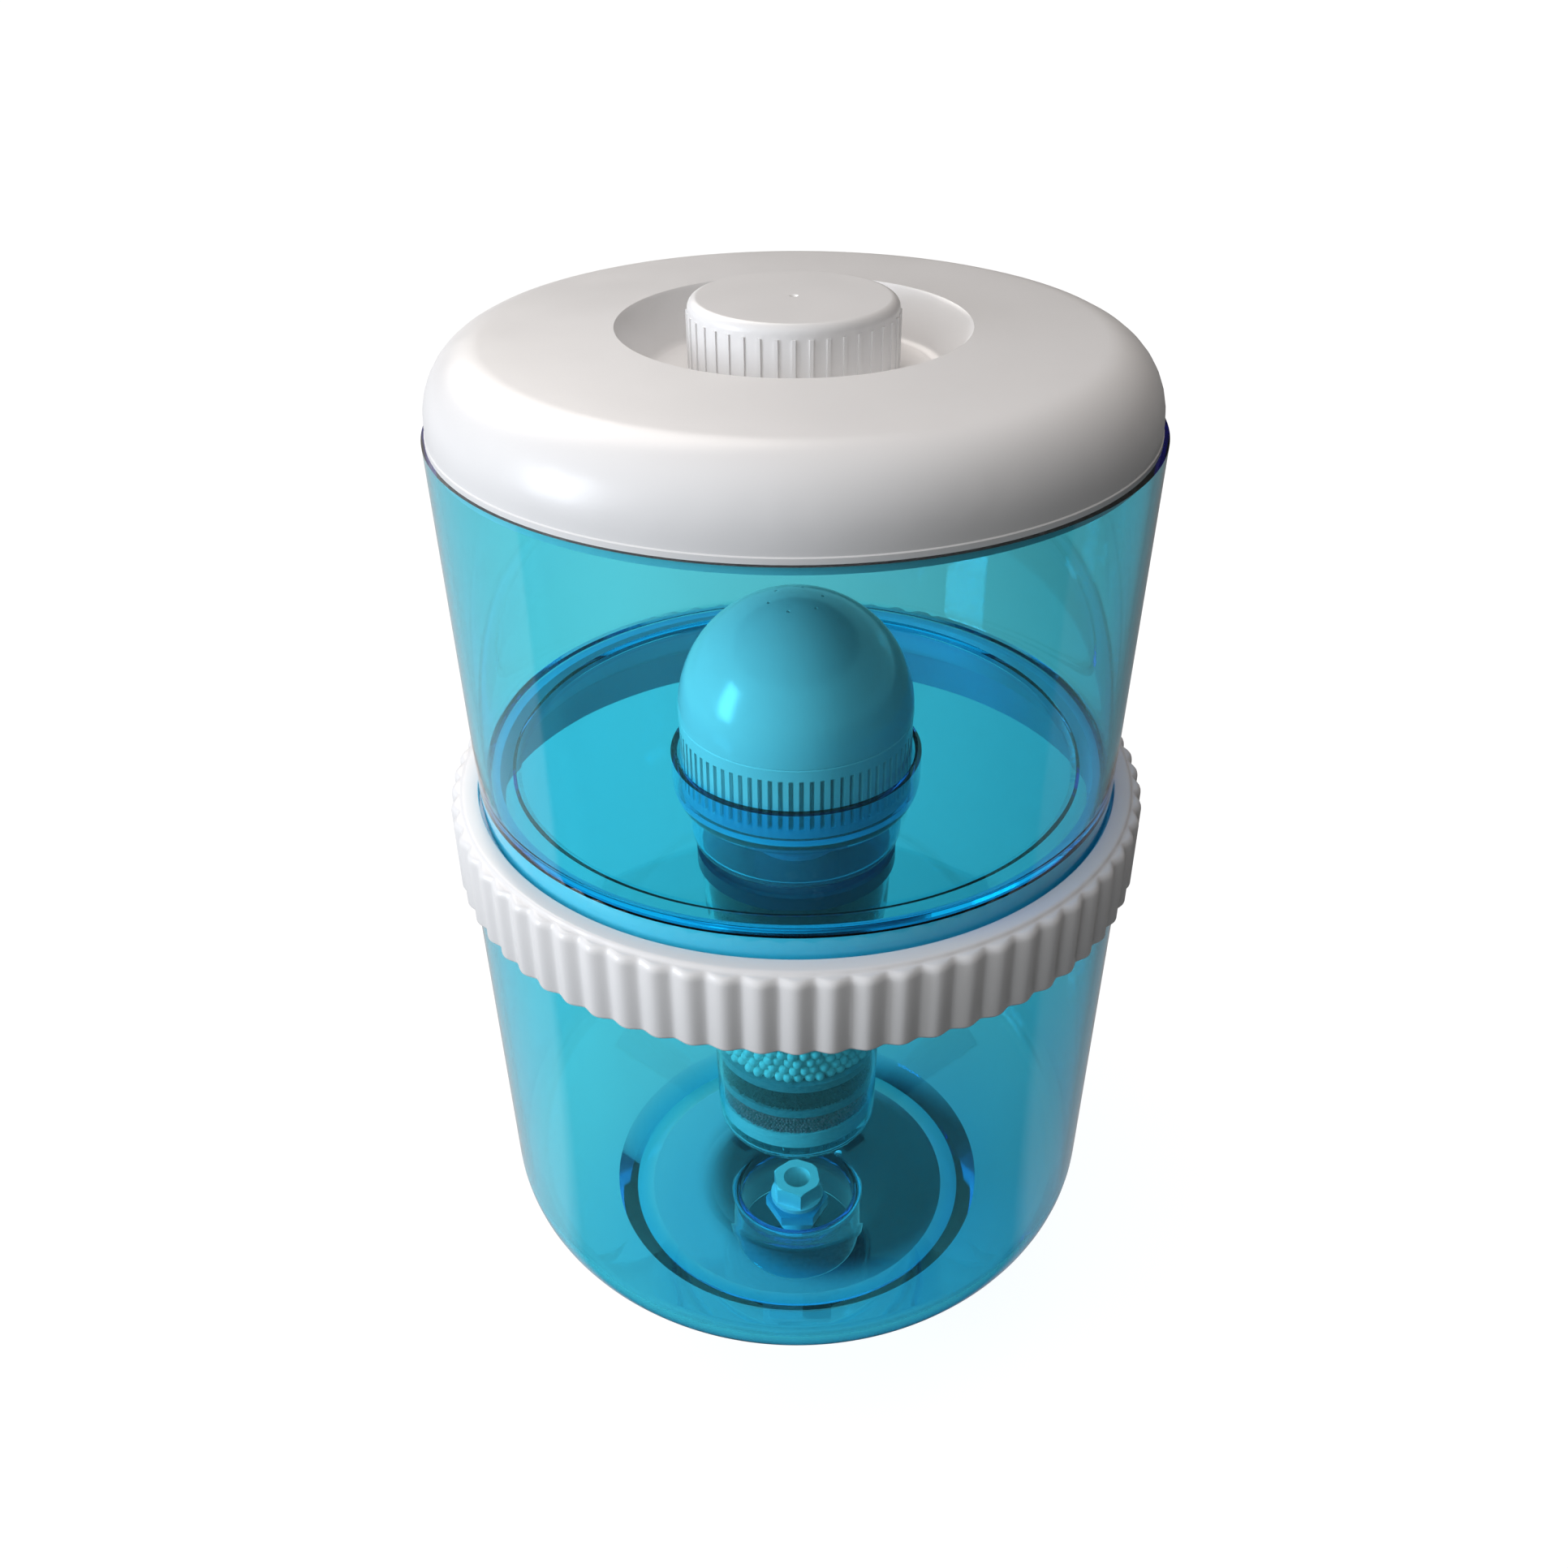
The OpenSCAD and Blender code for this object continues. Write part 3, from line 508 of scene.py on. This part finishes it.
def chip():
    """A broken granule: an uneven eight-cornered lump."""
    corners = [Vector((x, y, z)) for x in (-1, 1) for y in (-1, 1) for z in (-1, 1)]
    vertices = [c * RANDOM.uniform(*CHIP_CORNERS) for c in corners]
    faces = [(0, 1, 3, 2), (4, 6, 7, 5), (0, 4, 5, 1), (2, 3, 7, 6), (0, 2, 6, 4), (1, 5, 7, 3)]
    return vertices, faces


def random_turn():
    """A turn by any angle round any axis."""
    axis = Vector([RANDOM.gauss(0, 1) for _ in range(3)]).normalized()
    return Matrix.Rotation(RANDOM.uniform(0, 2 * math.pi), 3, axis)


def cluster(name, centres, radius, shapes, material, smooth):
    """One mesh of many grains at the centres, each turned at random and a little uneven."""
    vertices, faces = [], []
    for centre in centres:
        shape_vertices, shape_faces = RANDOM.choice(shapes)
        turn = random_turn()
        size = radius * RANDOM.uniform(*GRAIN_SIZES)
        start = len(vertices)
        vertices += [centre + turn @ (v * size) for v in shape_vertices]
        faces += [tuple(start + i for i in face) for face in shape_faces]
    return make_object(name, vertices, faces, material, smooth)


class Bed:
    """The tapered space of one filter bed, read from its node."""

    def __init__(self, node):
        self.low, self.high = (corner.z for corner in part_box(node))
        points = [v.co for v in NODES[node].data.vertices]
        middle = (self.low + self.high) / 2
        self.low_r = max(p.xy.length for p in points if p.z < middle)
        self.high_r = max(p.xy.length for p in points if p.z >= middle)

    def radius(self, z):
        """The bed's radius at a height."""
        share = (z - self.low) / (self.high - self.low)
        return self.low_r + (self.high_r - self.low_r) * share


def skin_centres(bed, grain_r):
    """Centres of the grains that lie against the housing, in staggered rows."""
    pitch = GRAIN_PITCH * grain_r
    rows = int((bed.high - bed.low - 2 * grain_r) / (pitch * ROW_PITCH)) + 1
    step = (bed.high - bed.low - 2 * grain_r) / max(rows - 1, 1)
    centres = []
    for i in range(rows):
        z = bed.low + grain_r + i * step
        reach = bed.radius(z) - grain_r - MEDIA_GAP
        count = int(2 * math.pi * reach / pitch)
        for j in range(count):
            stagger = 0.5 * (i % 2)
            turn = 2 * math.pi * (j + stagger + RANDOM.uniform(-ROW_JITTER, ROW_JITTER)) / count
            away = reach - RANDOM.uniform(0, SINK) * grain_r
            centres.append(Vector((away * math.cos(turn), away * math.sin(turn), z)))
    return centres


def disc_centres(bed, z, grain_r):
    """Centres of the grains in a level layer, in a sunflower pattern."""
    reach = bed.radius(z) - TOP_INSET * grain_r
    count = int((reach / grain_r) ** 2 * TOP_FILL)
    golden = math.pi * (3 - math.sqrt(5))
    return [Vector((reach * math.sqrt((i + 0.5) / count) * math.cos(i * golden),
                    reach * math.sqrt((i + 0.5) / count) * math.sin(i * golden), z))
            for i in range(count)]


def core(name, bed, grain_r, material):
    """The inside of a bed, behind its outer grains."""
    vertices = []
    for z in (bed.low + CORE_END * grain_r, bed.high - CORE_END * grain_r):
        away = bed.radius(z) - CORE_INSET * grain_r
        turns = [2 * math.pi * i / CORE_SIDES for i in range(CORE_SIDES)]
        vertices += [Vector((away * math.cos(turn), away * math.sin(turn), z))
                     for turn in turns]
    foot, top = range(CORE_SIDES), range(CORE_SIDES, 2 * CORE_SIDES)
    faces = [(i, (i + 1) % CORE_SIDES, CORE_SIDES + (i + 1) % CORE_SIDES, CORE_SIDES + i)
             for i in foot]
    faces += [tuple(foot)[::-1], tuple(top)]
    return make_object(name, vertices, faces, material, smooth=False)


def fill_bed(node, name, grain_r, shapes, material, smooth=True, core_material=None):
    """Replaces a bed's plain solid by grains round a core."""
    bed = Bed(node)
    centres = skin_centres(bed, grain_r) + disc_centres(bed, bed.high - grain_r, grain_r)
    grains = cluster(name, centres, grain_r, shapes, material, smooth)
    inside = core(name + "_core", bed, grain_r, core_material or material)
    for piece in (grains, inside):
        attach(piece, "cartridge")
    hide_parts(node)


def make_media():
    """All four beds: balls, sand and both kinds of carbon."""
    ball, bead = round_bead(), round_bead(rows=4, columns=6)
    chips = [chip() for _ in range(CHIP_SHAPES)]
    fill_bed("mineral_ball_bed", "mineral_balls", BALL_R, [ball], BALLS, core_material=FLEECE)
    fill_bed("mineral_sand_bed", "mineral_sand_beads", SAND_R, [bead], SAND)
    for node, name in (("silver_carbon_bed", "silver_carbon_granules"),
                       ("carbon_bed", "carbon_granules")):
        fill_bed(node, name, CHIP_R, chips, CARBON, smooth=False)


# ---- stage --------------------------------------------------------------------------

def make_floor():
    """A pale table top. Through the tanks it looks lit, but with a painted shadow under them and
    painted shade in front. In reflections it ends at a front edge, with the dim room below it. In
    both it carries painted window light, brighter on the window's side."""
    material, tree, shader, output = new_material("pale_floor")
    tree.nodes.remove(shader)
    place = object_coordinates(tree)
    along = add(tree, "ShaderNodeSeparateXYZ", {0: place}).outputs
    # Painted window light: the floor is brighter on the window's side, through the tanks and in
    # reflections
    painted_window_light = fit(tree, along["X"], WINDOW_SIDE, WINDOW_SIDE_LEVELS)

    # Painted shadow under the tanks, seen only through them
    away = add(tree, "ShaderNodeVectorMath", {0: place, 1: UNDER_TANK}, operation="DISTANCE")
    outside_painted_shadow = fit(tree, away.outputs["Value"], PAINTED_SHADOW_RADII, smooth=True)
    # Painted shade towards the front, seen through the tanks
    behind = fit(tree, along["Y"], FLOOR_FRONT, (FLOOR_FRONT_SHADE, 1.0))
    through = mixed(tree, "RGBA", product(tree, outside_painted_shadow, behind, painted_window_light),
                    grey(PAINTED_SHADOW_SHADE), (*FLOOR_SHADE_THROUGH, 1))
    itself = mixed(tree, "RGBA", rays(tree, "Is Camera Ray"), grey(FLOOR_BOUNCE),
                   grey(FLOOR_SHADE))
    colour = mixed(tree, "RGBA", rays(tree, "Is Transmission Ray"), itself, through)
    diffuse = add(tree, "ShaderNodeBsdfDiffuse", {"Color": colour})

    table_edge = (TABLE_EDGE - TABLE_EDGE_BLUR, TABLE_EDGE + TABLE_EDGE_BLUR)
    on_table = fit(tree, along["Y"], table_edge, (0.0, FLOOR_GLOW_REFLECTED))
    mirrored = product(tree, on_table, painted_window_light, reflection_rays(tree))
    level = calculate(tree, "MULTIPLY_ADD", rays(tree, "Is Camera Ray"), FLOOR_GLOW, mirrored)
    glow = add(tree, "ShaderNodeEmission", {"Color": (1, 1, 1, 1), "Strength": level})
    both = add(tree, "ShaderNodeAddShader", {0: diffuse.outputs[0], 1: glow.outputs[0]})
    tree.links.new(both.outputs[0], output.inputs["Surface"])

    corners = [Vector((x * FLOOR_HALF, y * FLOOR_HALF, 0)) for x, y in
               ((-1, -1), (1, -1), (1, 1), (-1, 1))]
    make_object("pale_floor", corners, [(0, 1, 2, 3)], material, smooth=False)


def lobe(tree, colour, side, dots, levels):
    """Surroundings whose level follows the direction's dot product with one side."""
    direction = add(tree, "ShaderNodeTexCoord").outputs["Generated"]
    lean = add(tree, "ShaderNodeVectorMath", {0: direction, 1: side}, operation="DOT_PRODUCT")
    level = fit(tree, lean.outputs["Value"], dots, levels, smooth=True)
    return add(tree, "ShaderNodeBackground", {"Color": (*colour, 1),
                                              "Strength": level}).outputs[0]


def make_world():
    """A room with a warm ceiling and a cool sky in front, a lamp that shines in glossy
    surfaces, and white to look at."""
    world = bpy.data.worlds.new("room")
    bpy.context.scene.world = world
    world.use_nodes = True
    tree = world.node_tree
    tree.nodes.clear()
    seen = lobe(tree, *CEILING)
    for light in (FRONT_SKY, BACK_FILL):
        seen = add(tree, "ShaderNodeAddShader", {0: seen, 1: lobe(tree, *light)}).outputs[0]
    backdrop = add(tree, "ShaderNodeBackground", {"Color": (1, 1, 1, 1), "Strength": BACKDROP})
    for kind, instead in (("Is Glossy Ray", lobe(tree, *MIRRORED_LAMP)),
                          ("Is Transmission Ray", lobe(tree, *SEEN_BEHIND)),
                          ("Is Camera Ray", backdrop.outputs[0])):
        seen = add(tree, "ShaderNodeMixShader", {0: rays(tree, kind), 1: seen,
                                                 2: instead}).outputs[0]
    add(tree, "ShaderNodeOutputWorld", {"Surface": seen})


def make_window():
    """One soft window, aimed at the middle of the object."""
    light = bpy.data.lights.new("window", "AREA")
    light.shape = "RECTANGLE"
    light.size, light.size_y = WINDOW_SIZE
    light.energy = WINDOW_POWER
    light.color = WINDOW_COLOUR
    window = bpy.data.objects.new("window", light)
    bpy.context.scene.collection.objects.link(window)
    window.location = AIM_AT + WINDOW_FROM.normalized() * WINDOW_DISTANCE
    window.rotation_euler = (AIM_AT - window.location).to_track_quat("-Z", "Y").to_euler()


def make_camera():
    """The photograph's view."""
    camera = bpy.data.objects.new("camera", bpy.data.cameras.new("camera"))
    bpy.context.scene.collection.objects.link(camera)
    camera.data.lens = LENS_MM
    camera.data.sensor_width = SENSOR_MM
    camera.data.shift_x = SHIFT_X
    pitch = Matrix.Rotation(math.radians(90 - LOOK_DOWN_DEG), 4, "X")
    roll = Matrix.Rotation(math.radians(ROLL_DEG), 4, "Z")
    camera.matrix_world = Matrix.Translation(CAMERA_AT) @ pitch @ roll
    bpy.context.scene.camera = camera


make_camera()
SHADING = soft_shading(SHARP_DEG)
CLEAR_SHADING = soft_shading(CLEAR_SHARP_DEG)
dress_nodes(SHADING, CLEAR_SHADING)
make_tanks(CLEAR_SHADING)
make_ring(SHADING)
make_media()
make_floor()
make_world()
make_window()
bpy.context.scene.view_settings.view_transform = "Standard"
light_paths = bpy.context.scene.cycles
light_paths.max_bounces = MAX_BOUNCES
light_paths.transmission_bounces = MAX_BOUNCES
light_paths.transparent_max_bounces = MAX_BOUNCES
